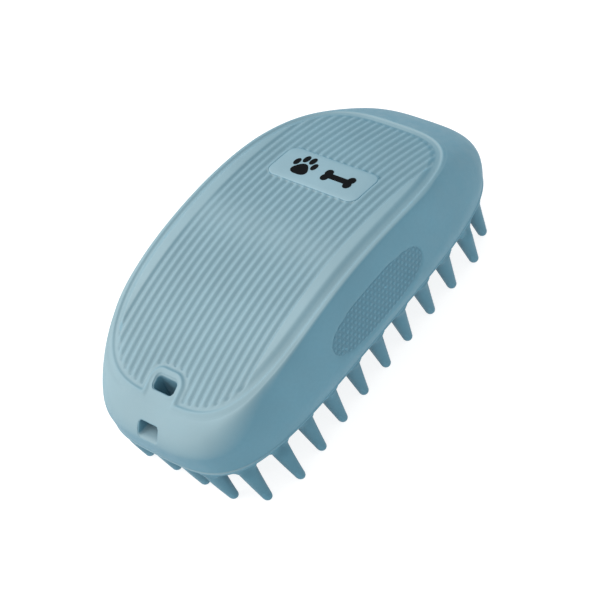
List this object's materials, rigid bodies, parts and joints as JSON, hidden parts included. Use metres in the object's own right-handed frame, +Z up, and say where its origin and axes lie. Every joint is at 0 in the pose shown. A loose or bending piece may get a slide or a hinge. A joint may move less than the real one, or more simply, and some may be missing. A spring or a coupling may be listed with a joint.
{
  "type": "rubber curry brush",
  "caption": "Oval palm-held rubber curry brush for pets, with a ribbed crowned top, side finger grips, a heel cord passage and flexing conical bristles.",
  "frame": {"origin": "centre of the brush's outline, on the plane that its bristle tips stand on", "axes": "+X lengthwise, away from the heel with the cord passage; +Y to the left side; +Z up, out of the ribbed top"},
  "size_m": [0.13, 0.07, 0.0437],
  "materials": {
    "body_rubber": "soft matte teal-blue moulded rubber",
    "grip_rubber": "soft matte teal-blue rubber with moulded ribs",
    "label_rubber": "smooth matte teal-blue rubber pad",
    "label_print": "flat black pad print",
    "finger_rubber": "matte teal-blue rubber with small raised grip dots",
    "bed_rubber": "matte teal-blue moulded rubber",
    "bristle_rubber": "matte teal-blue flexible rubber"
  },
  "bodies": {
    "palm": {"palm_body": "body_rubber", "ribbed_grip": "grip_rubber", "label_plate": "label_rubber", "label_mark": "label_print", "side_grip_left": "finger_rubber", "side_grip_right": "finger_rubber", "bristle_bed": "bed_rubber"},
    "left_side_bristles": {"side_bristle_left_1": "bristle_rubber", "side_bristle_left_2": "bristle_rubber", "side_bristle_left_3": "bristle_rubber", "side_bristle_left_4": "bristle_rubber", "side_bristle_left_5": "bristle_rubber", "side_bristle_left_6": "bristle_rubber", "side_bristle_left_7": "bristle_rubber", "side_bristle_left_8": "bristle_rubber", "side_bristle_left_9": "bristle_rubber"},
    "right_side_bristles": {"side_bristle_right_1": "bristle_rubber", "side_bristle_right_2": "bristle_rubber", "side_bristle_right_3": "bristle_rubber", "side_bristle_right_4": "bristle_rubber", "side_bristle_right_5": "bristle_rubber", "side_bristle_right_6": "bristle_rubber", "side_bristle_right_7": "bristle_rubber", "side_bristle_right_8": "bristle_rubber", "side_bristle_right_9": "bristle_rubber"},
    "heel_bristles": {"heel_bristle_1": "bristle_rubber", "heel_bristle_2": "bristle_rubber", "heel_bristle_3": "bristle_rubber", "heel_bristle_4": "bristle_rubber"},
    "toe_bristles": {"toe_bristle_1": "bristle_rubber", "toe_bristle_2": "bristle_rubber", "toe_bristle_3": "bristle_rubber", "toe_bristle_4": "bristle_rubber"},
    "corner_bristle_body_1": {"corner_bristle_1": "bristle_rubber"},
    "corner_bristle_body_2": {"corner_bristle_2": "bristle_rubber"},
    "corner_bristle_body_3": {"corner_bristle_3": "bristle_rubber"},
    "corner_bristle_body_4": {"corner_bristle_4": "bristle_rubber"},
    "inner_bristle_body_1": {"inner_bristle_row_1": "bristle_rubber"},
    "inner_bristle_body_2": {"inner_bristle_row_2": "bristle_rubber"},
    "inner_bristle_body_3": {"inner_bristle_row_3": "bristle_rubber"},
    "inner_bristle_body_4": {"inner_bristle_row_4": "bristle_rubber"}
  },
  "joints": [
    {"name": "left_side_bend", "type": "hinge", "parent": "palm", "child": "left_side_bristles", "pos_m": [-0.0023, 0.028, 0.0136], "axis": [1, 0, 0], "range_deg": [-25, 25], "stiffness_Nm_per_rad": 0.18},
    {"name": "right_side_bend", "type": "hinge", "parent": "palm", "child": "right_side_bristles", "pos_m": [-0.0023, -0.028, 0.0136], "axis": [1, 0, 0], "range_deg": [-25, 25], "stiffness_Nm_per_rad": 0.18},
    {"name": "heel_bend", "type": "hinge", "parent": "palm", "child": "heel_bristles", "pos_m": [-0.0596, 0, 0.0136], "axis": [0, 1, 0], "range_deg": [-25, 25], "stiffness_Nm_per_rad": 0.08},
    {"name": "toe_bend", "type": "hinge", "parent": "palm", "child": "toe_bristles", "pos_m": [0.055, 0, 0.0136], "axis": [0, 1, 0], "range_deg": [-25, 25], "stiffness_Nm_per_rad": 0.08},
    {"name": "corner_bend_1", "type": "hinge", "parent": "palm", "child": "corner_bristle_body_1", "pos_m": [-0.0543, 0.0238, 0.0136], "axis": [0.7071, 0.7071, 0], "range_deg": [-22, 22], "stiffness_Nm_per_rad": 0.02},
    {"name": "corner_bend_2", "type": "hinge", "parent": "palm", "child": "corner_bristle_body_2", "pos_m": [-0.0543, -0.0238, 0.0136], "axis": [0.7071, -0.7071, 0], "range_deg": [-22, 22], "stiffness_Nm_per_rad": 0.02},
    {"name": "corner_bend_3", "type": "hinge", "parent": "palm", "child": "corner_bristle_body_3", "pos_m": [0.0497, 0.0238, 0.0136], "axis": [0.7071, -0.7071, 0], "range_deg": [-22, 22], "stiffness_Nm_per_rad": 0.02},
    {"name": "corner_bend_4", "type": "hinge", "parent": "palm", "child": "corner_bristle_body_4", "pos_m": [0.0497, -0.0238, 0.0136], "axis": [0.7071, 0.7071, 0], "range_deg": [-22, 22], "stiffness_Nm_per_rad": 0.02},
    {"name": "inner_row_bend_1", "type": "hinge", "parent": "palm", "child": "inner_bristle_body_1", "pos_m": [-0.0023, -0.0171, 0.0136], "axis": [1, 0, 0], "range_deg": [-25, 25], "stiffness_Nm_per_rad": 0.2},
    {"name": "inner_row_bend_2", "type": "hinge", "parent": "palm", "child": "inner_bristle_body_2", "pos_m": [-0.0023, -0.0057, 0.0136], "axis": [1, 0, 0], "range_deg": [-25, 25], "stiffness_Nm_per_rad": 0.18},
    {"name": "inner_row_bend_3", "type": "hinge", "parent": "palm", "child": "inner_bristle_body_3", "pos_m": [-0.0023, 0.0057, 0.0136], "axis": [1, 0, 0], "range_deg": [-25, 25], "stiffness_Nm_per_rad": 0.18},
    {"name": "inner_row_bend_4", "type": "hinge", "parent": "palm", "child": "inner_bristle_body_4", "pos_m": [-0.0023, 0.0171, 0.0136], "axis": [1, 0, 0], "range_deg": [-25, 25], "stiffness_Nm_per_rad": 0.2}
  ]
}
